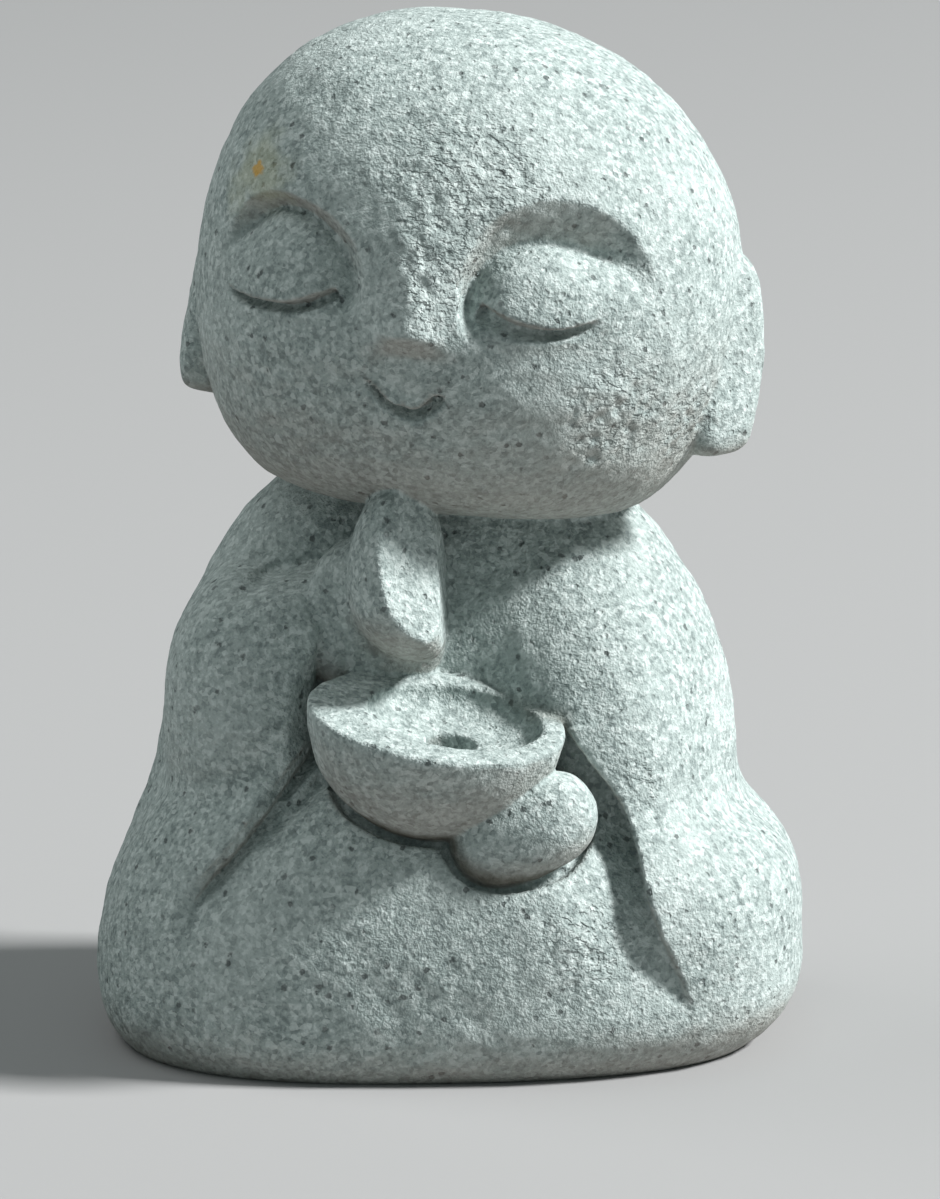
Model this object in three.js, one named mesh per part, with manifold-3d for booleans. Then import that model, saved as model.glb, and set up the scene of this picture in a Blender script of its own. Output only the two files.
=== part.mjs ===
// A small garden jizo carved from one block of granite: a bald, round head bowed to one side with closed
// eyes, a plain robe spread over folded legs, the right hand raised to the chin, and a bowl held up on the
// left hand. Millimetres, +Z up. The figure faces -Y, its left side is +X, and it stands on z = 0.

import * as THREE from 'three';
import { mergeVertices } from 'three/addons/utils/BufferGeometryUtils.js';
import Module from 'manifold-3d';

const wasm = await Module();
wasm.setup();

// ---- driving dimensions -------------------------------------------------------------------------------
// In a pair [a, b] the first size lies to the negative side of the axis and the second to the positive.

// robe over the trunk: it leans back a little, and its crown is hidden in the head
const TRUNK = {
  middle: [0, 16, 70], halfWidth: [86, 82], halfDepth: [45, 58], below: 90, above: [107, 102],
  plan: 2.3, side: 2.1,
};

// robe over the folded legs: lower and wider, squarer over the left knee
const LAP = {
  middle: [0, 0, 22], halfWidth: [102, 102], halfFront: 74, frontSlant: 0.07, halfBack: 82,
  below: 38, above: [84, 50], plan: 2.6, side: [2, 4], foot: [3, 2.3],
};
const LAP_JOIN = 14;
const SIDES_BLEND = 60;            // left and right sizes blend over this much to each side of the middle
const CARVED_FRONT = 15;           // folds fade out over this much to each side of the middle depth

// sleeves
const LEFT_ARM = {
  middle: [42, -6, 82], halfWidth: [34, 30], halfDepth: [42, 40], halfHeight: [62, 54], plan: 2.3, side: 2.2,
};
const LEFT_ARM_JOIN = 20;
const RIGHT_ARM = {
  middle: [-47, -6, 97], halfWidth: [35, 34], halfDepth: [40, 40], halfHeight: [60, 43], plan: 2.3, side: 2.3,
};
const RIGHT_ARM_JOIN = 8;
const CUFF = { across: -33.5, height: 138, slant: 0.1 };
const SLEEVE_EDGE = {
  line: [[36, 101], [48.8, 82], [54.5, 71], [61.4, 48.5], [70.5, 25.3], [74, 12]],
  wall: 4, proud: 2.5, proudWide: [6, 40], valley: 5, valleyWide: [4, 32], ends: [0.15, 0.75],
};
const ROBE_FOLD = {
  line: [[-37, 88], [-42, 83], [-55.5, 65.8], [-68, 50.8], [-73, 36]], wide: 9, deep: 3.5, ends: [0.12, 0.55],
};

// head: an egg bowed to the figure's left, whose crown leans back to its right
const HEAD = {
  middle: [5.3, 6, 217.2], halfWidth: 78, halfDepth: 72, halfHeight: 78.3, power: 2.18,
  lean: 7, turn: -10, roll: 3.3,
};

// face, in sizes across (u) and up (v) from the head's middle, laid on its front
const EYES = [{ side: -1, across: 41 }, { side: 1, across: 37.5 }];
const HOLLOW = {
  up: 9, rim: [23.5, 27], rimUp: [17, 30], foot: [20.5, 24], footUp: [14, 20.5],
  deep: 7, steep: 1.3, swell: 1.5, outerEnd: [5, 60], innerEnd: [222, 175], besideNose: 8,
};
const LID_LINE = { up: 13, half: 17.5, drop: 12.6, from: 200, to: 322, wide: 3.2, deep: 3 };
const NOSE = {
  across: 0.5, root: 42, tip: -2.5, foot: -9.5,
  wide: 15, taper: 3.5, flank: [1.45, 0.45], rise: 9.5, curve: 1.4,
};
const MOUTH = { across: 1, up: -26.3, half: 11.5, curl: 0.058, wide: 2.6, deep: 3 };
const FACE_EDGE = [0.02, 0.3];     // the face's carving fades out where the head turns this much forward

// ears: slabs standing out of the head, wider apart at the top
const EAR = { back: 3, tall: 53, deep: 30, stand: 9.5, carved: 3.5, bevel: 3, round: 2 };
const EARS = [{ side: -1, out: 69.5, up: -8, lean: 8 }, { side: 1, out: 71.5, up: -12, lean: 5 }];

// raised right hand, a blade with a flat palm turned to the figure's left, and the wrist in the cuff
const HAND = {
  middle: [-6, -40, 138], roll: -8, halfWidth: [13, 9], halfDepth: [24, 30], halfHeight: [18, 33],
  plan: 2.2, side: 2,
};
const WRIST = {
  middle: [-20, -26, 118], halfWidth: [24, 20.5], halfDepth: [14, 24], halfHeight: [22, 19],
  plan: 2.6, side: 2.4,
};
const PALM = 0.5;

// oval bowl, tipped forward and to the figure's left, with a small socket in the middle of its dish
const BOWL = {
  middle: [0, -55, 105], roll: 7.9, nod: 12, radius: 36.9, oval: 0.78, wall: 5.2, dish: 8.5,
  socketRadius: 7, socketDepth: 9.5, headroom: 6,
};

// left hand under the bowl
const LEFT_HAND = {
  middle: [25.3, -58, 73], roll: -25, halfWidth: [20.5, 20.5], halfDepth: [17.5, 20], halfHeight: [16, 16],
  plan: 2.3, side: 2.3,
};

const STONE = { color: 0x8fa19b, roughness: 0.92, metalness: 0 };

// how finely each form is faceted
const FACETS = {
  headAround: 56, headUp: 36, robeAround: 60, robeUp: 21, bowlAround: 28, handAround: 18, handUp: 12,
  groove: 12,
};
const ROBE_TOP = 164;
const FRONT_BIAS = 0.4;            // facets are finer at the front than at the back
const SEARCH = { from: 130, step: 2, halvings: 12 };

// ---- small helpers ------------------------------------------------------------------------------------

const radians = THREE.MathUtils.degToRad;
const { clamp, lerp } = THREE.MathUtils;
const [LOW, HIGH] = [0, 1];

function ease(from, to, value) {
  const t = clamp((value - from) / (to - from), 0, 1);
  return t * t * (3 - 2 * t);
}

// a value's share of the size on its own side of zero
const share = (value, sizes) => Math.abs(value) / (value < 0 ? sizes[LOW] : sizes[HIGH]);
// a size that passes smoothly from the figure's right side to its left
const across = (sizes, x) => lerp(...sizes, ease(-SIDES_BLEND, SIDES_BLEND, x));
const norm = (power, ...shares) => shares.reduce((sum, s) => sum + Math.abs(s) ** power, 0) ** (1 / power);
const join = (a, b, r) => Math.min(a, b) - Math.max(r - Math.abs(a - b), 0) ** 2 / (4 * r);

// Turn about Z, then roll (the figure's left side goes down), then nod (the front goes down).
function placement(middle, turn = 0, roll = 0, nod = 0) {
  return new THREE.Matrix4()
    .makeTranslation(...middle)
    .multiply(new THREE.Matrix4().makeRotationZ(radians(turn)))
    .multiply(new THREE.Matrix4().makeRotationY(radians(roll)))
    .multiply(new THREE.Matrix4().makeRotationX(radians(nod)));
}

// A closed solid from a geometry put in its place, with its shared corners merged.
function solid(geometry, place = new THREE.Matrix4()) {
  geometry.deleteAttribute('normal');
  geometry.deleteAttribute('uv');
  const merged = mergeVertices(geometry.applyMatrix4(place), 1e-4);
  return new wasm.Manifold(new wasm.Mesh({
    numProp: 3,
    vertProperties: Float32Array.from(merged.attributes.position.array),
    triVerts: Uint32Array.from(merged.index.array),
  }));
}

function moveCorners(geometry, move) {
  const place = geometry.attributes.position;
  const corner = new THREE.Vector3();
  for (let i = 0; i < place.count; i += 1) {
    move(corner.fromBufferAttribute(place, i));
    place.setXYZ(i, corner.x, corner.y, corner.z);
  }
  return geometry;
}

// Crowds the columns of a turned form towards the front, -Y.
function crowdFront(corner) {
  const around = Math.atan2(corner.x, -corner.y);
  const length = Math.hypot(corner.x, corner.y);
  const crowded = around - FRONT_BIAS * Math.sin(around);
  corner.x = length * Math.sin(crowded);
  corner.y = -length * Math.cos(crowded);
}

// A rounded form: how many times a point is further from the middle than the surface is.
function eggShare(form, x, y, z) {
  const plan = norm(form.plan, share(x, form.halfWidth), share(y, form.halfDepth));
  return norm(form.side, plan, share(z, form.halfHeight));
}

// About how far a point lies outside such a form.
function fromEgg(form, x, y, z) {
  const [dx, dy, dz] = [x - form.middle[0], y - form.middle[1], z - form.middle[2]];
  return Math.hypot(dx, dy, dz) * (1 - 1 / Math.max(eggShare(form, dx, dy, dz), 1e-6));
}

// Nearest distance from (x, z) to a line of points, how far it lies beyond it, and the share along.
function fromLine(line, x, z) {
  const nearest = { distance: Infinity, beyond: 0, along: 0 };
  const last = line.length - 1;
  for (let i = 0; i < last; i += 1) {
    const [from, to] = [line[i], line[i + 1]];
    const length = Math.hypot(to[0] - from[0], to[1] - from[1]);
    const [dx, dy] = [(to[0] - from[0]) / length, (to[1] - from[1]) / length];
    const run = clamp((x - from[0]) * dx + (z - from[1]) * dy, 0, length);
    const [ex, ey] = [x - from[0] - run * dx, z - from[1] - run * dy];
    const distance = Math.hypot(ex, ey);
    if (distance < nearest.distance) {
      nearest.distance = distance;
      nearest.beyond = Math.sign(ey * dx - ex * dy) * distance;
      nearest.along = (i + run / length) / last;
    }
  }
  return nearest;
}

// ---- robe ---------------------------------------------------------------------------------------------

function fromTrunk(x, y, z) {
  return fromEgg({ ...TRUNK, halfHeight: [TRUNK.below, across(TRUNK.above, x)] }, x, y, z);
}

function fromLap(x, y, z) {
  const halfDepth = [LAP.halfFront - LAP.frontSlant * x, LAP.halfBack];
  const halfHeight = [LAP.below, across(LAP.above, x)];
  const side = across(z < LAP.middle[2] ? LAP.foot : LAP.side, x);
  return fromEgg({ ...LAP, side, halfDepth, halfHeight }, x, y, z);
}

// The left sleeve's front edge stands proud of the lap, which falls away towards it.
function sleeveEdgeRise(x, z) {
  const { beyond, along } = fromLine(SLEEVE_EDGE.line, x, z);
  const { wall, ends, proud, proudWide, valley, valleyWide } = SLEEVE_EDGE;
  const fade = ease(0, ends[LOW], along) * ease(1, ends[HIGH], along);
  const raised = proud * ease(-wall, wall, beyond) * ease(proudWide[HIGH], proudWide[LOW], beyond);
  const sunk = valley * ease(-wall, wall, -beyond) * ease(valleyWide[HIGH], valleyWide[LOW], -beyond);
  return fade * (raised - sunk);
}

// The right sleeve ends on the lap in a soft fold.
function robeFoldRise(x, z) {
  const { distance, along } = fromLine(ROBE_FOLD.line, x, z);
  const fade = ease(0, ROBE_FOLD.ends[LOW], along) * ease(1, ROBE_FOLD.ends[HIGH], along);
  return -fade * ROBE_FOLD.deep * ease(ROBE_FOLD.wide / 2, 0, distance);
}

// About how far a point lies outside the robe, sleeves included.
function fromRobe(x, y, z) {
  const cuff = x - CUFF.across + CUFF.slant * (CUFF.height - z);
  const rightArm = Math.max(fromEgg(RIGHT_ARM, x, y, z), cuff);
  let outside = join(fromTrunk(x, y, z), fromLap(x, y, z), LAP_JOIN);
  outside = join(outside, fromEgg(LEFT_ARM, x, y, z), LEFT_ARM_JOIN);
  outside = join(outside, rightArm, RIGHT_ARM_JOIN);
  return outside - ease(CARVED_FRONT, -CARVED_FRONT, y) * (sleeveEdgeRise(x, z) + robeFoldRise(x, z));
}

// How far the robe reaches from its upright axis in the direction (dx, dy) at height z: steps in from
// outside to the first point in the robe, then halves the last step.
function robeReach(dx, dy, z) {
  const outsideAt = (reach) => fromRobe(dx * reach, TRUNK.middle[1] + dy * reach, z);
  let inner = SEARCH.from;
  while (outsideAt(inner) > 0 && inner > 0) {
    inner -= SEARCH.step;
  }
  let outer = inner + SEARCH.step;
  for (let i = 0; i < SEARCH.halvings; i += 1) {
    const middle = (inner + outer) / 2;
    if (outsideAt(middle) > 0) outer = middle;
    else inner = middle;
  }
  return inner;
}

function robe() {
  const profile = [new THREE.Vector2(0, 0)];
  for (let i = 0; i <= FACETS.robeUp; i += 1) {
    profile.push(new THREE.Vector2(1, ROBE_TOP * (i / FACETS.robeUp)));
  }
  profile.push(new THREE.Vector2(0, ROBE_TOP));
  const form = new THREE.LatheGeometry(profile, FACETS.robeAround).rotateX(Math.PI / 2);
  moveCorners(form, (corner) => {
    crowdFront(corner);
    const onRim = Math.hypot(corner.x, corner.y) > 0.5;
    const reach = onRim ? robeReach(corner.x, corner.y, corner.z) : 0;
    corner.set(corner.x * reach, TRUNK.middle[1] + corner.y * reach, corner.z);
  });
  return solid(form);
}

// ---- head ---------------------------------------------------------------------------------------------

// The hollow under a brow, and the closed lid that swells out of it. a runs outwards from the eye's middle.
function eyeRelief(a, v) {
  const up = v - HOLLOW.up;
  const rim = norm(2, share(a, HOLLOW.rim), share(up, HOLLOW.rimUp));
  const foot = norm(2, share(a, HOLLOW.foot), share(up, HOLLOW.footUp));
  const direction = (THREE.MathUtils.radToDeg(Math.atan2(up, a)) + 450) % 360 - 90;    // from -90 to 270
  const deep = HOLLOW.deep * ease(...HOLLOW.outerEnd, direction) * ease(...HOLLOW.innerEnd, direction);
  if (foot < 1) {
    const dome = Math.sqrt(1 - foot * foot);
    return HOLLOW.swell * dome - deep * (1 - dome);
  }
  return rim < 1 ? -deep * (1 - (foot - 1) / (foot - 1 + HOLLOW.steep * (1 - rim))) : 0;
}

// Height of the face's carving over the plain head.
function faceRelief(u, v) {
  const down = clamp((NOSE.root - v) / (NOSE.root - NOSE.tip), 0, 1);
  const halfNose = NOSE.wide - NOSE.taper * down;
  const ridge = ease(...NOSE.flank, Math.abs(u - NOSE.across) / halfNose);
  const nose = NOSE.rise * down ** NOSE.curve * ease(NOSE.foot, NOSE.tip, v) * ridge;
  const eye = EYES.find(({ side }) => side * u >= 0);
  return nose + ease(0, HOLLOW.besideNose, Math.abs(u)) * eyeRelief(Math.abs(u) - eye.across, v);
}

// The point of the head's surface in a unit direction, in the head's own axes.
function onHead(direction) {
  const { x, y, z } = direction;
  const plain = 1 / norm(HEAD.power, x / HEAD.halfWidth, y / HEAD.halfDepth, z / HEAD.halfHeight);
  const relief = ease(...FACE_EDGE, -y) * faceRelief(HEAD.halfHeight * x, HEAD.halfHeight * z);
  const point = direction.clone().multiplyScalar(plain + relief);
  point.x -= HEAD.lean * Math.max(point.z / HEAD.halfHeight, 0) ** 2;
  return point;
}

const headPlace = placement(HEAD.middle, HEAD.turn, HEAD.roll);

function skull() {
  const form = new THREE.SphereGeometry(1, FACETS.headAround, FACETS.headUp).rotateX(Math.PI / 2);
  moveCorners(form, (corner) => {
    crowdFront(corner);
    corner.copy(onHead(corner.normalize()));
  });
  return solid(form, headPlace);
}

// A groove cut along a line of [u, v] points on the face.
function faceGroove(points, wide, deep) {
  const onFace = points.map(([u, v]) => {
    const [x, z] = [u / HEAD.halfHeight, v / HEAD.halfHeight];
    return onHead(new THREE.Vector3(x, -Math.sqrt(1 - x * x - z * z), z));
  });
  const section = new THREE.Shape();
  section.absellipse(0, 0, wide / 2, deep, 0, 2 * Math.PI);
  return solid(new THREE.ExtrudeGeometry(section, {
    extrudePath: new THREE.CatmullRomCurve3(onFace),
    steps: FACETS.groove,
    curveSegments: 4,
    bevelEnabled: false,
  }), headPlace);
}

function lidLine(eye) {
  const points = [];
  for (let i = 0; i <= 6; i += 1) {
    const angle = radians(lerp(LID_LINE.from, LID_LINE.to, i / 6));
    points.push([
      eye.side * (eye.across + LID_LINE.half * Math.cos(angle)),
      LID_LINE.up + LID_LINE.drop * Math.sin(angle),
    ]);
  }
  return faceGroove(points, LID_LINE.wide, LID_LINE.deep);
}

function mouthLine() {
  const points = [];
  for (let i = -3; i <= 3; i += 1) {
    const u = (MOUTH.half * i) / 3;
    points.push([MOUTH.across + u, MOUTH.up + MOUTH.curl * u * u]);
  }
  return faceGroove(points, MOUTH.wide, MOUTH.deep);
}

// A slab ear with a rounded top and a blunt lobe, carved with a crescent and a slit.
// It is drawn with side * x towards the back and y up, and stands out along z.
function ear({ side, out, up, lean }) {
  const half = EAR.deep / 2;
  const foot = -EAR.tall / 2;
  const outline = new THREE.Shape();
  outline.moveTo(-side * half * 0.8, foot);
  outline.lineTo(side * half * 0.5, foot);
  outline.quadraticCurveTo(side * half * 0.9, foot / 2, side * half, -foot / 3);
  outline.quadraticCurveTo(side * half, -foot, 0, -foot);
  outline.quadraticCurveTo(-side * half, -foot, -side * half, -foot / 3);
  const slab = new THREE.ExtrudeGeometry(outline, {
    depth: 2 * EAR.stand - EAR.bevel, curveSegments: 5,
    bevelSize: EAR.round, bevelThickness: EAR.bevel, bevelOffset: -EAR.round, bevelSegments: 2,
  }).translate(0, 0, -EAR.stand);
  const crescent = new THREE.Shape();
  crescent.absarc(0, 8, 9, radians(20), radians(160), false);
  crescent.absarc(0, 5, 7, radians(145), radians(35), true);
  const slit = new THREE.Shape();
  slit.absellipse(-side * 3, -4, 2, 8, 0, 2 * Math.PI);
  const carving = { depth: 12, bevelEnabled: false, curveSegments: 5 };
  const [crescentCut, slitCut] = [crescent, slit].map((shape) => (
    new THREE.ExtrudeGeometry(shape, carving).translate(0, 0, EAR.stand - EAR.carved)
  ));
  const upright = new THREE.Matrix4().makeBasis(
    new THREE.Vector3(0, side, 0),
    new THREE.Vector3(0, 0, 1),
    new THREE.Vector3(side, 0, 0),
  );
  const place = headPlace.clone()
    .multiply(new THREE.Matrix4().makeTranslation(side * out, EAR.back, up))
    .multiply(new THREE.Matrix4().makeRotationY(radians(side * lean)))
    .multiply(upright);
  return solid(slab, place).subtract(solid(crescentCut, place)).subtract(solid(slitCut, place));
}

// ---- hands and bowl -----------------------------------------------------------------------------------

function egg(form) {
  const shape = new THREE.SphereGeometry(1, FACETS.handAround, FACETS.handUp).rotateX(Math.PI / 2);
  moveCorners(shape, (corner) => corner.divideScalar(eggShare(form, corner.x, corner.y, corner.z)));
  return solid(shape, placement(form.middle, 0, form.roll));
}

// The blade and the wrist, cut flat at the palm.
function raisedHand() {
  const size = 200;
  const beyondPalm = new THREE.BoxGeometry(size, size, size);
  beyondPalm.translate(PALM + size / 2, -size / 2, HAND.middle[2]);
  return egg(HAND).add(egg(WRIST)).subtract(solid(beyondPalm));
}

function arc(middleX, middleY, radiusX, radiusY, from, to, count) {
  const points = [];
  for (let i = 0; i <= count; i += 1) {
    const angle = radians(lerp(from, to, i / count));
    points.push(new THREE.Vector2(middleX + radiusX * Math.cos(angle), middleY + radiusY * Math.sin(angle)));
  }
  return points;
}

const bowlPlace = placement(BOWL.middle, 0, BOWL.roll, BOWL.nod).scale(new THREE.Vector3(1, BOWL.oval, 1));

function turned(profile) {
  profile[0].x = 0;
  profile[profile.length - 1].x = 0;
  return solid(new THREE.LatheGeometry(profile, FACETS.bowlAround).rotateX(Math.PI / 2), bowlPlace);
}

// Outer half-ball, rounded rim, shallow dish with a flat floor, and the socket.
function bowl() {
  const { radius, wall, dish, socketRadius, socketDepth } = BOWL;
  const lip = wall / 2;
  const floor = radius - wall - dish;
  return turned([
    ...arc(0, 0, radius, radius, -90, -6, 8),
    ...arc(radius - lip, -lip, lip, lip, 20, 180, 4),
    ...arc(floor, -lip, dish, dish - lip, 0, -90, 4).slice(1),
    new THREE.Vector2(socketRadius, -dish),
    new THREE.Vector2(socketRadius, -dish - socketDepth),
    new THREE.Vector2(0, -dish - socketDepth),
  ]);
}

// The room over the bowl's dish, which neither the robe nor the wrist fills.
function bowlRoom() {
  const { radius, wall, dish, headroom } = BOWL;
  const inner = radius - wall / 2;
  return turned([
    new THREE.Vector2(0, -2 * dish),
    new THREE.Vector2(inner - dish, -2 * dish),
    new THREE.Vector2(inner, -wall / 2),
    ...arc(0, -wall / 2, inner, headroom + wall / 2, 30, 90, 3),
  ]);
}

// ---- the whole stone ----------------------------------------------------------------------------------

function carve() {
  let stone = robe().add(raisedHand()).subtract(bowlRoom());
  stone = stone.add(bowl()).add(egg(LEFT_HAND)).add(skull());
  for (const one of EARS) {
    stone = stone.add(ear(one));
  }
  for (const eye of EYES) {
    stone = stone.subtract(lidLine(eye));
  }
  return stone.subtract(mouthLine());
}

function geometryOf(stone) {
  const mesh = stone.getMesh();
  const geometry = new THREE.BufferGeometry();
  geometry.setAttribute('position', new THREE.Float32BufferAttribute(mesh.vertProperties, 3));
  geometry.setIndex(Array.from(mesh.triVerts));
  return geometry;
}

const statue = new THREE.Mesh(geometryOf(carve()), new THREE.MeshStandardMaterial(STONE));
statue.name = 'jizo_statue';

const model = new THREE.Group();
model.add(statue);

export default model;
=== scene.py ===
"""A small garden jizo carved from one block of granite: form, stone finish, and a plain studio around it."""

import math

import bpy
import numpy as np
from bpy.props import FloatProperty, FloatVectorProperty, IntProperty, PointerProperty
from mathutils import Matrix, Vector, noise


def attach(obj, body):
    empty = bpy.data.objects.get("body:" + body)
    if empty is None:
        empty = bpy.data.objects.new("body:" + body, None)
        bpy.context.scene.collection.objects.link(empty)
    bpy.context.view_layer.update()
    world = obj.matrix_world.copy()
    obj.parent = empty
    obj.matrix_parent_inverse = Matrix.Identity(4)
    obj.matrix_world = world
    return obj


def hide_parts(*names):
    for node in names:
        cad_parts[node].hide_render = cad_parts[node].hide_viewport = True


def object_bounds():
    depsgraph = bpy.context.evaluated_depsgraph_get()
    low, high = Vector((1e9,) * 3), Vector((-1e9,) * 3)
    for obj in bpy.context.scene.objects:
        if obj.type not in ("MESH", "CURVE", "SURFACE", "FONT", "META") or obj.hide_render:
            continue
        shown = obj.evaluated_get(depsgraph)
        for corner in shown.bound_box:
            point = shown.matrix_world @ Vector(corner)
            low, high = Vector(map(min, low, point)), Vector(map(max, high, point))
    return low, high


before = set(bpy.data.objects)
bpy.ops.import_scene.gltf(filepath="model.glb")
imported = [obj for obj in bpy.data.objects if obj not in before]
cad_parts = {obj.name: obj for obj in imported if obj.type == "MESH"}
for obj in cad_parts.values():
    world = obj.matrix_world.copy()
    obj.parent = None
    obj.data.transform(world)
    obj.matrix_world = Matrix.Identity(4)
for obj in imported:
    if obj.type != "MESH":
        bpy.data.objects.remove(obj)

bl_info = {
    "name": "Stone Jizo",
    "version": (1, 0, 0),
    "blender": (4, 5, 0),
    "location": "3D View > Sidebar > Jizo",
    "description": "A one-block granite jizo with its stone finish, and a plain studio",
    "category": "Object",
}

CAD_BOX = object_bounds()
NODE = "jizo_statue"
MM = 0.001

# ---- driving dimensions --------------------------------------------------------------------------------
# Millimetres, +Z up. The figure faces -Y and its left side is +X. In a pair the first size lies to the
# negative side of the axis and the second to the positive.

TRUNK = {
    "middle": (0, 16, 70), "across": (86, 82), "depth": (45, 58), "below": 90, "above": (107, 102),
    "plan": 2.3, "side": 2.1,
}
LAP = {
    "middle": (0, 0, 22), "across": (102, 102), "front": 74, "slant": 0.07, "back": 82,
    "below": 38, "above": (84, 50), "plan": 2.6, "side": (2, 4), "foot": (3, 2.3),
}
LEFT_ARM = {
    "middle": (42, -6, 82), "across": (34, 30), "depth": (42, 40), "height": (62, 54),
    "plan": 2.3, "side": 2.2,
}
RIGHT_ARM = {
    "middle": (-47, -6, 97), "across": (35, 34), "depth": (40, 40), "height": (60, 43),
    "plan": 2.3, "side": 2.3,
}
CUFF = {"edge": (-33.5, -38, 138), "slant": 0.1, "bevel": 38, "round": 1.6}
SLEEVE_EDGE = {
    "line": ((36, 101), (37.7, 96.4), (48.8, 82), (54.5, 71), (61.4, 48.5), (70.5, 25.3), (74, 12)),
    "wall": (-0.8, 1.4), "proud": 3, "proud_wide": (5, 40), "valley": 7.5, "valley_wide": (1.5, 26),
    "ends": (0.04, 0.5),
}
FOLDS = (
    {"line": ((-35, 92), (-42, 83), (-55.5, 65.8), (-68, 50.8), (-73, 36)), "step": 3.4, "crease": 3.4,
     "wide": 3.6, "ends": (0.04, 0.6)},
    {"line": ((-31, 84), (-35.5, 80.3), (-47.6, 69.8), (-55, 61)), "step": 1.2, "crease": 3.0,
     "wide": 2.8, "ends": (0.1, 0.5)},
    {"line": ((-62, 128), (-53.7, 133.4), (-40, 138), (-22, 141.5)), "step": 3.4, "crease": 2.0,
     "wide": 3.6, "ends": (0.4, 0.9)},
)

HEAD = {
    "middle": (5.3, 6, 217.2), "turn": -10, "roll": 3.3, "across": 78, "depth": 72, "height": 78.3,
    "power": 2.18, "lean": 7, "under": 66, "under_slant": 0.15, "under_crisp": 12,
}
EYES = (
    {"side": -1, "across": 41.0, "rim": (27, 20), "rim_up": (17, 24.5),
     "foot": (19.5, 18.5), "foot_up": (13, 22), "deep": 0.72, "wide": (3.4, 2.6),
     "line": ((-60, 6), (-58, 3.4), (-52.2, 2), (-43.1, 2.4), (-35.1, 4.2), (-29, 7.4), (-25.3, 10.4))},
    {"side": 1, "across": 37.5, "rim": (23.2, 27), "rim_up": (17, 30),
     "foot": (20, 24.5), "foot_up": (14, 20), "deep": 1.0, "wide": (6.2, 3.0),
     "line": ((21.6, 10.2), (25.3, 8), (28.8, 6.2), (33.4, 4.5), (37.5, 3.5), (42.1, 3.2), (47.1, 4.1),
              (53.2, 6.2))},
)
HOLLOW_UP = 9
BESIDE_NOSE = (3, 12)       # the hollows fade in over this much beside the middle of the face
NOSE = {"across": 0.5, "root": 44, "tip": 0.5, "foot": -8.5, "wide": 14, "taper": 1.5}
MOUTH = ((-12.4, -16.4), (-10.1, -19.6), (-7.5, -21.9), (-4.8, -23.8), (-1, -25.2), (2.9, -25.6), (5.6, -24.4),
         (8.2, -22), (11.4, -19.2))
EARS = (
    {"side": -1, "out": 72, "back": -3, "up": -8, "lean": 8, "flare": 14},
    {"side": 1, "out": 72, "back": 2, "up": -12, "lean": 6, "flare": 34},
)
EAR = {
    "half": (9.5, 15, 29.5), "plan": 3.6, "side": 3.2, "crescent": (2.5, 11.5, 4.2), "tail": (6.7, 4.0),
    "slit": (-3, 0.5, 6), "cut": 1.9, "cut_deep": 5,
}

HAND = {
    "middle": (-6, -40, 138), "roll": -8, "across": (20, 9), "depth": (26, 30), "height": (20, 33.5),
    "plan": 2.2, "side": 1.9,
}
WRIST = {
    "middle": (-21, -26, 121), "across": (20, 21), "depth": (10, 24), "height": (16, 28),
    "plan": 2.6, "side": 2.4,
}
FACET = {"point": (-8, -60, 140), "facing": (0.62, -0.7, 0.34), "round": 1.2}
PALM = {"across": 0.5, "slant": 0.04, "round": 1.0}
BOWL = {
    "middle": (0, -55, 105), "roll": 7.9, "nod": 12, "radius": 36.9, "oval": 0.78, "wall": 12, "dish": 8.5, "aside": 5, "back": 2,
    "socket": 7, "socket_deep": 9.5, "lip": 1.8,
}
LEFT_HAND = {
    "middle": (25.3, -58, 73), "roll": -25, "across": (22.5, 21), "depth": (14, 20), "height": (14, 14),
    "plan": 2.3, "side": 2.3,
}
UNDERCUT = {"wide": 3.0, "deep": 5.5, "top": 92, "slant": 0.2}

# where the point left a rougher surface: middle and radius, and how rough
PECKED = (
    ((8, -64, 262), 30, 0.8),
    ((0, -74, 236), 22, 1.0),
    ((48, -50, 192), 20, 1.0),
    ((66, -26, 186), 16, 1.0),
    ((44, -66, 42), 17, 0.8),
    ((60, -48, 84), 10, 0.6),
)
FLECK = (-52, -33, 257)

# ---- settings ------------------------------------------------------------------------------------------


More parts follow.
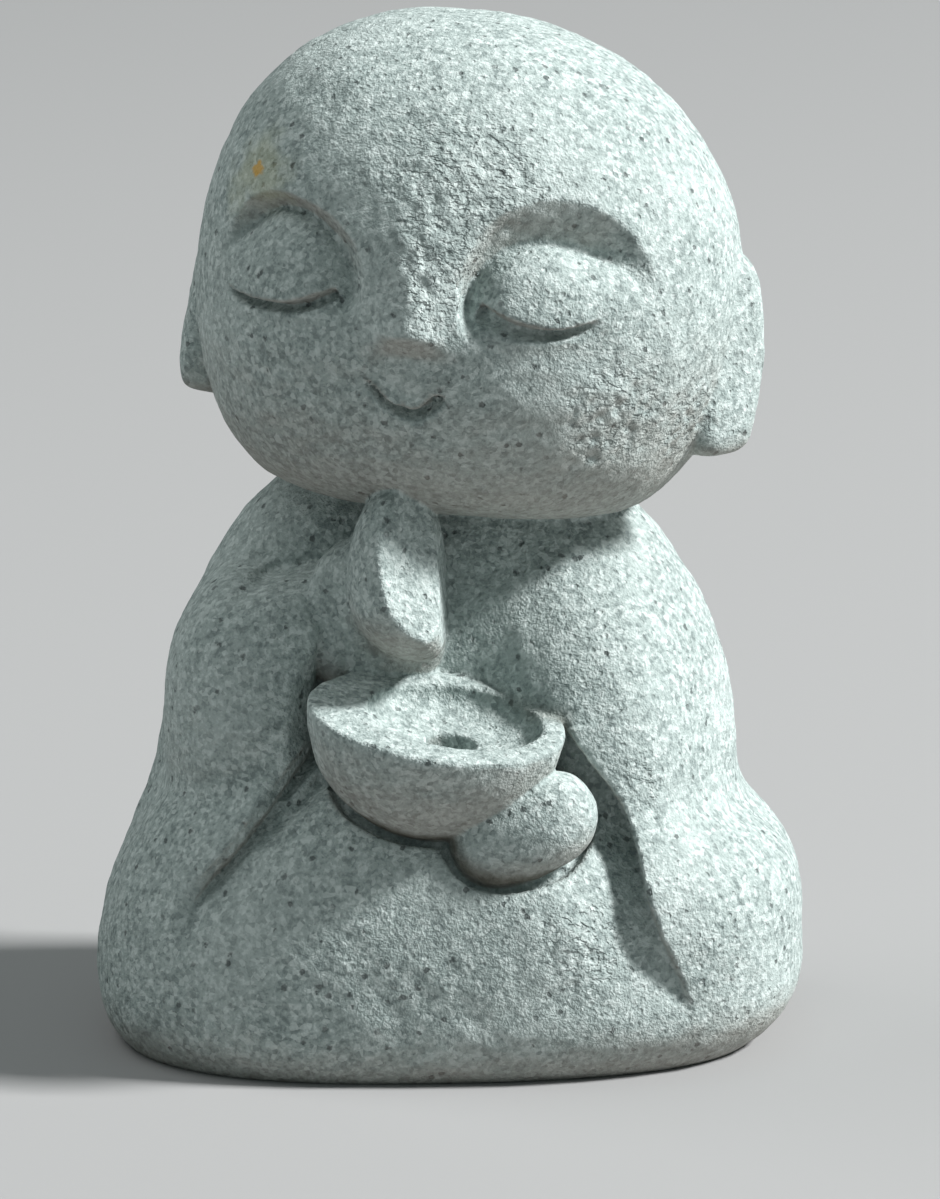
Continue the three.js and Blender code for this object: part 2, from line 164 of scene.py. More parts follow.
class StoneSettings(bpy.types.PropertyGroup):
    """Colours and finish of the granite."""

    body: FloatVectorProperty(
        name="Stone", description="Main colour of the granite", subtype="COLOR", size=3,
        default=(0.36, 0.425, 0.41), min=0, max=1)
    light: FloatVectorProperty(
        name="Light grains", description="Colour of the pale grains", subtype="COLOR", size=3,
        default=(0.62, 0.69, 0.67), min=0, max=1)
    dark: FloatVectorProperty(
        name="Dark grains", description="Colour of the grey grains", subtype="COLOR", size=3,
        default=(0.16, 0.2, 0.195), min=0, max=1)
    speck: FloatVectorProperty(
        name="Specks", description="Colour of the small black specks", subtype="COLOR", size=3,
        default=(0.045, 0.055, 0.055), min=0, max=1)
    # Partly dirt and partly painted shade: this near-black colour darkens the joint under the bowl and left hand.
    dirt_and_shade: FloatVectorProperty(
        name="Dirt", description="Colour of the dirt that lies in the deep joints", subtype="COLOR", size=3,
        default=(0.055, 0.05, 0.03), min=0, max=1)
    # Painted bounce light: a brown tinge laid on the downward-facing sides in place of light bounced up from below.
    underside_bounce: FloatVectorProperty(
        name="Painted underside bounce", description="Brown tinge of the undersides", subtype="COLOR", size=3,
        default=(0.3, 0.25, 0.21), min=0, max=1)
    fleck: FloatVectorProperty(
        name="Lichen fleck", description="Colour of the small orange fleck on the forehead", subtype="COLOR",
        size=3, default=(0.62, 0.36, 0.07), min=0, max=1)
    stain: FloatVectorProperty(
        name="Yellow stain", description="Colour of the faint stain around the fleck", subtype="COLOR",
        size=3, default=(0.5, 0.5, 0.27), min=0, max=1)
    grain: FloatProperty(
        name="Grain size", description="Width of the stone's grains, in millimetres",
        default=1.5, min=0.5, max=6)
    roughness: FloatProperty(
        name="Roughness", description="How dull the dressed stone is", subtype="FACTOR",
        default=0.88, min=0, max=1)
    tooth: FloatProperty(
        name="Tooth", description="Height of the fine grain on the surface, in millimetres",
        default=0.55, min=0, max=2)


class CarvingSettings(bpy.types.PropertyGroup):
    """Sizes of the carving, in millimetres."""

    step: FloatProperty(
        name="Cutting step", description="Size of the steps that the form is first cut in, in millimetres",
        default=1.15, min=0.8, max=6)
    triangles: IntProperty(
        name="Triangles", description="The most triangles that the finished mesh may have",
        default=192000, min=10000, max=199000)
    brow: FloatProperty(
        name="Eye hollow", description="Depth of the hollows under the brows, in millimetres",
        default=9.5, min=0, max=12)
    lid_line: FloatProperty(
        name="Closed lid line", description="Depth of the lines of the closed eyes, in millimetres",
        default=4.4, min=0, max=8)
    nose: FloatProperty(
        name="Nose", description="How far the nose stands out, in millimetres", default=7.5, min=0, max=20)
    mouth: FloatProperty(
        name="Mouth line", description="Depth of the mouth's line, in millimetres", default=4.8, min=0, max=8)
    dressing: FloatProperty(
        name="Dressing", description="Unevenness left by the hammer, in millimetres",
        default=0.5, min=0, max=3)
    pecking: FloatProperty(
        name="Pecking", description="Depth of the dents in the rough patches, in millimetres",
        default=0.9, min=0, max=3)


class StudioSettings(bpy.types.PropertyGroup):
    """Camera, lights and floor."""

    azimuth: FloatProperty(
        name="Azimuth", description="How far the camera stands to the figure's left", subtype="ANGLE",
        default=math.radians(4))
    elevation: FloatProperty(
        name="Elevation", description="How far the camera looks down", subtype="ANGLE",
        default=math.radians(13))
    distance: FloatProperty(
        name="Distance", description="From the camera to the point it looks at", unit="LENGTH",
        default=2.6, min=0.5)
    view_height: FloatProperty(
        name="View height", description="Height of the view at that point", unit="LENGTH",
        default=0.3455, min=0.05)
    key: FloatProperty(
        name="Key light", description="Power of the key light", unit="POWER", default=1200, min=0)
    fill: FloatProperty(
        name="Fill light", description="Power of the fill light", unit="POWER", default=13, min=0)
    sky: FloatProperty(name="Surroundings", description="Brightness of the white room", default=0.2, min=0)
    floor: FloatVectorProperty(
        name="Floor", description="Colour of the floor", subtype="COLOR", size=3,
        default=(0.34, 0.34, 0.34), min=0, max=1)


# ---- forms as distances --------------------------------------------------------------------------------
# Each function gives about how far points lie outside a form, and less than nothing inside it.


def ease(start, end, value):
    """0 before start, 1 past end, and a smooth step between."""
    t = np.clip((value - start) / (end - start), 0, 1)
    return t * t * (3 - 2 * t)


def join(a, b, width):
    """Both forms, with a soft inner corner."""
    overlap = np.clip(width - np.abs(a - b), 0, None) / width
    return np.minimum(a, b) - overlap * overlap * width / 4


def carve(a, b, width):
    """Form a with b taken away, with a rounded edge."""
    return -join(-a, b, width)


def spin(a, b, degrees):
    c, s = math.cos(math.radians(degrees)), math.sin(math.radians(degrees))
    return c * a + s * b, c * b - s * a


def placed(p, middle, turn=0, roll=0, nod=0):
    """Points seen from a form that was turned about Z, rolled to its left and nodded forward."""
    x, y, z = [v - m for v, m in zip(p, middle)]
    x, y = spin(x, y, turn)
    x, z = spin(x, z, -roll)
    y, z = spin(y, z, nod)
    return x, y, z


def share(v, sizes):
    """A value's share of the size on its own side of zero."""
    return np.abs(v) / np.where(v < 0, sizes[0], sizes[1])


def norm(power, *shares):
    return sum(np.abs(s) ** power for s in shares) ** (1 / power)


def egg(p, form, across=None, depth=None, height=None, side=None):
    """A rounded form that may have its own size on each side."""
    x, y, z = placed(p, form["middle"], roll=form.get("roll", 0))
    plan = norm(form["plan"], share(x, across or form["across"]), share(y, depth or form["depth"]))
    power = form["side"] if side is None else side
    whole = (plan ** power + share(z, height or form["height"]) ** power) ** (1 / power)
    return np.sqrt(x * x + y * y + z * z) * (1 - 1 / np.maximum(whole, 1e-6))


def smooth_line(points, parts=6):
    """A smooth line through the points, as short straight pieces."""
    p = [np.array(q, float) for q in points]
    p = [2 * p[0] - p[1]] + p + [2 * p[-1] - p[-2]]
    line = []
    for a, b, c, d in zip(p, p[1:], p[2:], p[3:]):
        for t in np.linspace(0, 1, parts, endpoint=False):
            line.append(0.5 * (2 * b + (c - a) * t + (2 * a - 5 * b + 4 * c - d) * t ** 2
                               + (3 * b - a - 3 * c + d) * t ** 3))
    line.append(p[-2])
    return np.array(line)


def from_line(u, v, line):
    """Distance from a line, the same with a sign for the side (left of its run is positive), share along."""
    best = np.full(np.shape(u), 1e9)
    beyond = np.zeros(np.shape(u))
    along = np.zeros(np.shape(u))
    lengths = np.hypot(*(line[1:] - line[:-1]).T)
    done = 0.0
    for a, b, length in zip(line, line[1:], lengths):
        dx, dy = (b - a) / length
        run = np.clip((u - a[0]) * dx + (v - a[1]) * dy, 0, length)
        ex, ey = u - a[0] - run * dx, v - a[1] - run * dy
        distance = np.hypot(ex, ey)
        near = distance < best
        best = np.where(near, distance, best)
        beyond = np.where(near, np.where(ey * dx - ex * dy >= 0, distance, -distance), beyond)
        along = np.where(near, (done + run) / lengths.sum(), along)
        done += length
    return best, beyond, along


def only_where(mask, relief, *values):
    """The relief, worked out only for the points in the mask, and 0 elsewhere."""
    result = np.zeros(np.shape(mask))
    if mask.any():
        result[mask] = relief(*[v[mask] for v in values])
    return result


# ---- head ----------------------------------------------------------------------------------------------


def eye_relief(eye, a, v, deep):
    """The hollow under a brow and the closed lid that swells out of it; a runs outwards from the eye."""
    deep = deep * eye["deep"]
    up = v - HOLLOW_UP
    rim = norm(np.where(a < 0, 2.4, 1.9), share(a, eye["rim"]), share(up, eye["rim_up"]))
    foot = norm(2.0, share(a, eye["foot"]), share(up, eye["foot_up"]))
    toward = np.degrees(np.arctan2(up / 25, a / 24))
    toward = np.where(toward < -90, toward + 360, toward)
    depth = deep * ease(0, 55, toward) * ease(215, 172, toward)
    climb = np.clip((foot - 1) / np.maximum(foot - 1 + 1.15 * (1 - rim), 1e-3), 0, 1)
    lid = -depth * np.minimum(foot, 1) ** 2.8 + 1.2 * np.clip(1 - foot * foot, 0, 1) ** 2
    return np.where(foot < 1, lid, np.where(rim < 1, -depth * (1 - climb ** 1.5), 0))


def lid_line_relief(eye, u, v, deep):
    """The closed eye's line: a steep step under the lid, easing back out to the cheek."""
    s = eye["side"]
    line = smooth_line(eye["line"] if s > 0 else eye["line"][::-1])
    _, beyond, along = from_line(u, v, line)
    over = beyond * s
    broad, narrow = eye["wide"]
    wide = narrow + (broad - narrow) * ease(0.75, 0.1, along)
    wide = np.maximum(wide * ease(0, 0.06, along) * ease(1.0, 0.8, along), 0.2)
    under = np.clip(1 - (np.maximum(-over, 0) / wide) ** 2.2, 0, 1)
    above = np.clip(1 - np.maximum(over, 0) / 0.6, 0, 1)
    lid = 1.2 * ease(0, 0.6, over) * ease(9, 0.6, over) * ease(0, 0.12, along) * ease(1, 0.85, along)
    return lid - deep * np.where(over < 0, under, above) * np.clip(wide / narrow, 0, 1)


def face_relief(u, v, sizes):
    """Height of the face's carving over the plain head, by sizes across (u) and up (v) from its middle."""
    height = np.zeros(np.shape(u))
    for eye in EYES:
        s = eye["side"]
        own = (s * u > 0)
        height += only_where(
            own, lambda a, b: eye_relief(eye, s * a - eye["across"], b, sizes.brow) * ease(*BESIDE_NOSE, s * a), u, v)
        near = own & (np.abs(v - 6) < 16)
        height += only_where(near, lambda a, b: lid_line_relief(eye, a, b, sizes.lid_line), u, v)
    down = np.clip((NOSE["root"] - v) / (NOSE["root"] - NOSE["tip"]), 0, 1)
    half = NOSE["wide"] - NOSE["taper"] * down
    ridge = np.exp(-1.25 * (np.abs(u - NOSE["across"]) / half * 1.2) ** 2.2)
    under = ease(NOSE["foot"], NOSE["tip"], v + 0.012 * (u - NOSE["across"]) ** 2)
    height += sizes.nose * down ** 1.3 * under * ridge
    mouth = smooth_line(MOUTH)

    def lips(a, b):
        distance, beyond, along = from_line(a, b, mouth)
        wide = 0.9 + 0.9 * ease(0.15, 0.6, along) * ease(1.0, 0.9, along)
        fade = ease(0, 0.06, along) * ease(1.0, 0.96, along)
        lip = 0.7 * ease(0.2, 1.2, beyond) * ease(6, 1.2, beyond) * ease(0.0, 0.4, along) * ease(1.0, 0.6, along)
        return lip - sizes.mouth * fade * np.clip(1 - (distance / wide) ** 2, 0, 1)

    height += only_where((np.abs(u) < 20) & (np.abs(v + 22) < 14), lips, u, v)
    return height


def ear(p, form):
    """A slab with a rounded top and a squarer lobe, carved with a crescent and a slit."""
    x, y, z = p[0] * form["side"] - form["out"], p[1] - form["back"], p[2] - form["up"]
    x, y = spin(x, y, -form["flare"])
    x, z = spin(x, z, form["lean"])
    thick, deep, tall = EAR["half"]
    lobe = ease(0, -27, z)
    deep = deep * (1 - 0.22 * lobe)
    plan = norm(EAR["plan"], x / thick, (y + 1.5 * lobe) / deep)
    whole = norm(EAR["side"] + 1.5 * lobe, plan, z / tall)
    slab = np.sqrt(x * x + y * y + z * z) * (1 - 1 / np.maximum(whole, 1e-6))

    def carving(x, z):
        across, up, radius = EAR["crescent"]
        tail_across, tail = EAR["tail"]
        arc = np.where(z > up, np.abs(np.hypot(x - across, z - up) - radius), 1e9)
        below = np.clip(up - z, 0, None)
        arc = np.minimum(arc, np.hypot(x - tail_across, below) + np.clip(up - tail - z, 0, None))
        across, up, half = EAR["slit"]
        slit = np.hypot(x - across, np.maximum(np.abs(z - up) - half, 0))
        return np.clip(1.25 - (np.minimum(arc, slit) / EAR["cut"]) ** 2, 0, 1)

    return slab + EAR["cut_deep"] * only_where((y < -3) & (np.abs(slab) < 12), carving, x, z)


def head(p, sizes):
    x, y, z = placed(p, HEAD["middle"], HEAD["turn"], HEAD["roll"])
    crown = np.clip(z / HEAD["height"], 0, 1)
    sx = x + HEAD["lean"] * crown * crown
    r = np.sqrt(sx * sx + y * y + z * z) + 1e-6
    whole = norm(HEAD["power"], sx / HEAD["across"], y / HEAD["depth"], z / HEAD["height"])
    below = np.maximum(-(z + HEAD["under_slant"] * y) / HEAD["under"], 0)
    plain = r - r / norm(HEAD["under_crisp"], whole, below)
    front = ease(0.02, 0.3, -y / r)
    face = (front > 0) & (np.abs(plain) < 25)
    relief = only_where(
        face, lambda u, v, f: f * face_relief(u, v, sizes), HEAD["height"] * sx / r, HEAD["height"] * z / r, front)
    whole = plain - relief
    for form in EARS:
        whole = join(whole, ear((x, y, z), form), 1.2)
    return whole


# ---- robe ----------------------------------------------------------------------------------------------


def trunk_and_lap(p):
    x, y, z = p
    left = ease(-60, 60, x)

    def across(sizes):
        return sizes[0] + (sizes[1] - sizes[0]) * left

    trunk = egg(p, TRUNK, height=(TRUNK["below"], across(TRUNK["above"])))
    lap_side = np.where(z < LAP["middle"][2], across(LAP["foot"]), across(LAP["side"]))
    lap = egg(p, LAP, depth=(LAP["front"] - LAP["slant"] * x, LAP["back"]),
              height=(LAP["below"], across(LAP["above"])), side=lap_side)
    return join(trunk, lap, 14)


def sleeve_edge_relief(x, z):
    _, beyond, along = from_line(x, z, smooth_line(SLEEVE_EDGE["line"]))
    low, high = SLEEVE_EDGE["proud_wide"]
    proud = SLEEVE_EDGE["proud"] * ease(*SLEEVE_EDGE["wall"], beyond) * ease(high, low, beyond)
    low, high = SLEEVE_EDGE["valley_wide"]
    valley = SLEEVE_EDGE["valley"] * ease(SLEEVE_EDGE["wall"][1], SLEEVE_EDGE["wall"][0], beyond)
    valley = valley * ease(-high, -low, beyond)
    start, end = SLEEVE_EDGE["ends"]
    return (proud - valley) * ease(0, start, along) * ease(1, end, along)


def fold_relief(x, z, fold):
    distance, beyond, along = from_line(x, z, smooth_line(fold["line"]))
    start, end = fold["ends"]
    fade = ease(0, start, along) * ease(1, end, along)
    step = fold["step"] * (ease(-1.2, 1.2, beyond) * ease(14, 3, beyond) - 0.5 * ease(1.2, -1.2, beyond)
                           * ease(-12, -3, beyond))
    crease = fold["crease"] * np.clip(1 - (distance / fold["wide"]) ** 2, 0, 1)
    return -fade * (step + crease)


def cuff(p):
    """How far points lie past the sleeve's end, which is bevelled towards the front."""
    x, y, z = [v - e for v, e in zip(p, CUFF["edge"])]
    square = x - CUFF["slant"] * z
    bevel = square * math.cos(math.radians(CUFF["bevel"])) - y * math.sin(math.radians(CUFF["bevel"]))
    return -join(-square, -bevel, CUFF["round"])


def robe(p):
    x, y, z = p
    whole = trunk_and_lap(p)
    whole = join(whole, egg(p, LEFT_ARM), 20)
    right_arm = carve(egg(p, RIGHT_ARM), -cuff(p), CUFF["round"])
    whole = join(whole, right_arm, 5)
    front = (y < 15) & (np.abs(whole) < 16)
    fade = ease(15, -15, y)
    lap_side = front & (x > 0) & (z < 112)
    whole = whole - only_where(lap_side, lambda a, b, f: f * sleeve_edge_relief(a, b), x, z, fade)
    for fold in FOLDS:
        ends = np.array(fold["line"])
        low, high = ends.min(0) - 16, ends.max(0) + 16
        near = front & (x > low[0]) & (x < high[0]) & (z > low[1]) & (z < high[1])
        whole = whole - only_where(near, lambda a, b, f: f * fold_relief(a, b, fold), x, z, fade)
    return whole


# ---- hands and bowl ------------------------------------------------------------------------------------


def raised_hand(p):
    """A blade with a flat palm turned to the figure's left and one long facet, and the wrist below it."""
    x, y, z = p
    blade = egg(p, HAND)
    facing = np.array(FACET["facing"]) / np.linalg.norm(FACET["facing"])
    facet = sum((v - m) * f for v, m, f in zip(p, FACET["point"], facing))
    blade = carve(blade, -facet, FACET["round"])
    blade = join(blade, egg(p, WRIST), 8)
    palm = x - PALM["across"] - PALM["slant"] * (HAND["middle"][2] - z)
    return carve(blade, -palm, PALM["round"])


def bowl_axes(p):
    x, y, z = placed(p, BOWL["middle"], roll=BOWL["roll"], nod=BOWL["nod"])
    return x, y / BOWL["oval"], z


def bowl_outside(x, y, z):
    return carve(np.sqrt(x * x + y * y + z * z) - BOWL["radius"], -z, BOWL["lip"])


def bowl_space(x, y, z):
    """The dish with the air over it, and the socket in its middle."""
    x = x - BOWL["aside"]
    around = np.hypot(x, y - BOWL["back"])
    wide = BOWL["radius"] - BOWL["wall"]
    dish = norm(2.6, around / wide, share(z, (BOWL["dish"], 6)))
    dish = np.sqrt(around ** 2 + z * z) * (1 - 1 / np.maximum(dish, 1e-6))
    socket = np.maximum(around - BOWL["socket"], np.abs(z + BOWL["dish"]) - BOWL["socket_deep"])
    return join(dish, socket, 1.5)


def statue(p, sizes):
    bowl = bowl_axes(p)
    outside = bowl_outside(*bowl)
    thumb = egg(p, LEFT_HAND)
    held = np.minimum(outside, thumb)
    body = robe(p)
    moat = np.maximum(held - UNDERCUT["wide"], -body - UNDERCUT["deep"])
    moat = np.maximum(moat, (p[2] - UNDERCUT["top"]) + UNDERCUT["slant"] * p[0])
    body = carve(body, moat, 1.0)
    body = join(body, outside, 0.6)
    body = carve(body, bowl_space(*bowl), 1.6)
    body = join(body, thumb, 1.0)
    body = join(body, raised_hand(p), 1.2)
    body = join(body, head(p, sizes), 1.6)
    return np.maximum(body, -p[2])


# ---- mesh ----------------------------------------------------------------------------------------------


def values_on_grid(form, axes, block=8):
    """The form on a grid, worked out only in the blocks that its surface may cross."""
    starts = [np.arange(0, len(a), block) for a in axes]
    middles = [a[np.minimum(s + block // 2, len(a) - 1)] for a, s in zip(axes, starts)]
    rough = form(np.meshgrid(*middles, indexing="ij"))
    reach = 0.5 * math.sqrt(3) * block * (axes[0][1] - axes[0][0]) * 1.4 + 3.0

    def spread(values):
        for axis in range(3):
            values = np.repeat(values, block, axis)
        return values[:len(axes[0]), :len(axes[1]), :len(axes[2])]

    grid = spread(rough)
    cells = np.nonzero(spread(np.abs(rough) < reach))
    grid[cells] = form([a[c] for a, c in zip(axes, cells)])
    return grid


def surface_net(grid, axes):
    """Closed mesh of quads where the grid's values pass through zero: one corner for each cell crossed."""
    inside = grid < 0
    nx, ny, nz = [n - 1 for n in grid.shape]
    corners = [(i, j, k) for i in (0, 1) for j in (0, 1) for k in (0, 1)]
    count = sum(inside[i:nx + i, j:ny + j, k:nz + k].astype(np.uint8) for i, j, k in corners)
    crossed = (count > 0) & (count < 8)
    index = np.full(crossed.shape, -1, np.int64)
    cells = np.argwhere(crossed)
    index[crossed] = np.arange(len(cells))
    place = np.zeros((len(cells), 3))
    hits = np.zeros(len(cells))
    for axis in range(3):
        for start in [c for c in corners if c[axis] == 0]:
            a, b = cells + start, cells + start
            b[:, axis] += 1
            fa, fb = grid[tuple(a.T)], grid[tuple(b.T)]
            hit = (fa < 0) != (fb < 0)
            part = np.where(hit, fa / np.where(hit, fa - fb, 1), 0)
            pa = np.stack([axes[n][a[:, n]] for n in range(3)], 1)
            pb = np.stack([axes[n][b[:, n]] for n in range(3)], 1)
            place += np.where(hit[:, None], pa + (pb - pa) * part[:, None], 0)
            hits += hit
    place /= hits[:, None]
    quads = []
    for axis in range(3):
        one, other = [slice(None)] * 3, [slice(None)] * 3
        one[axis], other[axis] = slice(0, -1), slice(1, None)
        edges = np.argwhere(inside[tuple(one)] != inside[tuple(other)])
        u, v = (axis + 1) % 3, (axis + 2) % 3
        limit = np.array(grid.shape) - 1
        within = (edges[:, u] > 0) & (edges[:, v] > 0)
        edges = edges[within & (edges[:, u] < limit[u]) & (edges[:, v] < limit[v])]
        ring = []
        for du, dv in ((-1, -1), (0, -1), (0, 0), (-1, 0)):
            cell = edges.copy()
            cell[:, u] += du
            cell[:, v] += dv
            ring.append(index[tuple(cell.T)])
        ring = np.stack(ring, 1)
        flip = inside[tuple(other)][tuple(edges.T)]
        ring[flip] = ring[flip][:, ::-1]
        quads.append(ring)
    return place, np.concatenate(quads)


def slope(form, points, reach=0.35):
    """The form's slope at the points, from four values around each."""
    total = np.zeros(points.shape)
    for corner in ((1, 1, 1), (1, -1, -1), (-1, 1, -1), (-1, -1, 1)):
        offset = np.array(corner, float)
        total += np.outer(form(list((points + offset * reach).T)), offset)
    return total / (4 * reach)


def settle(form, points, step, rounds=2):
    """Moves the points onto the form's surface. Returns them with the last slope."""
    for _ in range(rounds):
        rise = slope(form, points)
        move = form(list(points.T)) / np.maximum((rise ** 2).sum(1), 0.05)
        points = points - rise * np.clip(move, -0.5 * step, 0.5 * step)[:, None]
    return points, rise / np.linalg.norm(rise, axis=1)[:, None]


def bumps(points, size, seed):
    """Smooth random heights, about -1 to 1, that change over the given size."""
    offset = np.array([37.1, 11.7, 53.3]) * seed
    return np.array([noise.noise(p) for p in (points / size + offset)])


def pecked_share(points):
    """How rough the point left the surface, from 0 to 1."""
    most = np.zeros(len(points))
    for middle, radius, strength in PECKED:
        away = np.linalg.norm(points - middle, axis=1) / radius
        most = np.maximum(most, strength * ease(1.15, 0.35, away))
    return most


def dressed(points, normals, sizes):
    """The surface as the hammer left it: uneven all over, and dented where it was pecked."""
    rough = pecked_share(points)
    waves = ((0.9, 16), (0.6, 7), (0.35, 3.4))
    height = sizes.dressing * sum(high * bumps(points, wide, seed) for seed, (high, wide) in enumerate(waves, 1))
    dents = np.clip(bumps(points * (1, 1, 0.6), 2.6, 4) - 0.05, 0, 1)
    height -= sizes.pecking * rough * (1.6 * dents + 0.5 * bumps(points, 4.5, 5))
    on_ground = ease(6, 1, points[:, 2])
    moved = points + normals * (height * (1 - on_ground))[:, None]
    moved[:, 2] = np.maximum(moved[:, 2], 0)
    return moved, rough


def object_from(name, points, faces, layers):
    """A mesh object from points in millimetres, with one value of each layer for each point."""
    mesh = bpy.data.meshes.new(name)
    mesh.from_pydata((points * MM).tolist(), [], faces.tolist())
    for layer, values in layers.items():
        mesh.attributes.new(layer, "FLOAT", "POINT").data.foreach_set("value", values.astype(np.float32))
    mesh.shade_smooth()
    piece = bpy.data.objects.new(name, mesh)
    bpy.context.scene.collection.objects.link(piece)
    return piece


def thin_out(piece, triangles):
    """Leaves at most this many triangles, and keeps the crisp forms."""
    full = sum(len(f.vertices) - 2 for f in piece.data.polygons)
    if full <= triangles:
        return
    modifier = piece.modifiers.new("thin out", "DECIMATE")
    modifier.ratio = triangles / full
    modifier.use_collapse_triangulate = True
    shown = piece.evaluated_get(bpy.context.evaluated_depsgraph_get())
    thinned = bpy.data.meshes.new_from_object(shown)
    piece.modifiers.clear()
    old = piece.data
    piece.data = thinned
    thinned.name = old.name
    bpy.data.meshes.remove(old)


def dirt_and_shade_share(points):
    """Where dirt and painted shade lie: in the joint of the robe with the bowl and left hand, low down."""
    p = list(points.T)
    held = np.minimum(bowl_outside(*bowl_axes(p)), egg(p, LEFT_HAND))
    body = robe(p)
    # Dirt and painted shade share this mask: the joint under the bowl and left hand, low down.
    joint = ease(4.5, 0.5, np.abs(held)) * ease(5.5, 0.5, np.abs(body))
    below = ease(112, 96, p[2])
    return joint * below


# ---- stone ---------------------------------------------------------------------------------------------


class Value:
    """A number socket that can be used in ordinary sums; each sum adds its Math node."""

    def __init__(self, shader, socket):
        self.shader = shader
        self.socket = socket

    def _math(self, operation, *inputs):
        return self.shader.node("ShaderNodeMath", {"operation": operation}, dict(enumerate(inputs))).value()

    def __add__(self, other):
        return self._math("ADD", self, other)

    def __radd__(self, other):
        return self._math("ADD", other, self)

    def __sub__(self, other):
        return self._math("SUBTRACT", self, other)

    def __rsub__(self, other):
        return self._math("SUBTRACT", other, self)

    def __mul__(self, other):
        return self._math("MULTIPLY", self, other)

    def __rmul__(self, other):
        return self._math("MULTIPLY", other, self)

    def __truediv__(self, other):
        return self._math("DIVIDE", self, other)

    def __pow__(self, other):
        return self._math("POWER", self, other)

    def clamped(self):
        kept = self._math("ADD", self, 0.0)
        kept.socket.node.use_clamp = True
        return kept

    def ramp(self, start, end):
        """0 at start, 1 at end, smooth between."""
        settings = {"interpolation_type": "SMOOTHSTEP"}
        inputs = {"Value": self, "From Min": start, "From Max": end}
        return self.shader.node("ShaderNodeMapRange", settings, inputs).value("Result")


class Made:
    """A node that was just made, and its outputs."""

    def __init__(self, shader, node):
        self.shader = shader
        self.node = node

    def value(self, name=0):
        return Value(self.shader, self.node.outputs[name])

    def out(self, name=0):
        return self.node.outputs[name]


class Shader:
    """The node tree of one material."""

    def __init__(self, name):
        self.material = bpy.data.materials.new(name)
        self.material.use_nodes = True
        self.tree = self.material.node_tree
        self.tree.nodes.clear()

    def node(self, kind, settings=None, inputs=None):
        """Adds a node: its settings first, then the values or links of its sockets."""
        node = self.tree.nodes.new(kind)
        for name, setting in (settings or {}).items():
            setattr(node, name, setting)
        for name, given in (inputs or {}).items():
            socket = node.inputs[name]
            if isinstance(given, Value):
                self.tree.links.new(given.socket, socket)
            elif isinstance(given, bpy.types.NodeSocket):
                self.tree.links.new(given, socket)
            else:
                socket.default_value = given
        return Made(self, node)

    def mixed(self, share, a, b):
        """Colour a going to colour b."""
        inputs = {0: share, 6: paint(a), 7: paint(b)}
        return self.node("ShaderNodeMix", {"data_type": "RGBA"}, inputs).out(2)

    def attribute(self, name):
        return self.node("ShaderNodeAttribute", {"attribute_name": name}).value("Fac")

    def finish(self, surface):
        self.node("ShaderNodeOutputMaterial", {}, {"Surface": surface})
        return self.material


def paint(colour):
    """A colour from the settings as a socket's four numbers; a link stays as it is."""
    return colour if isinstance(colour, bpy.types.NodeSocket) else (*colour, 1.0)


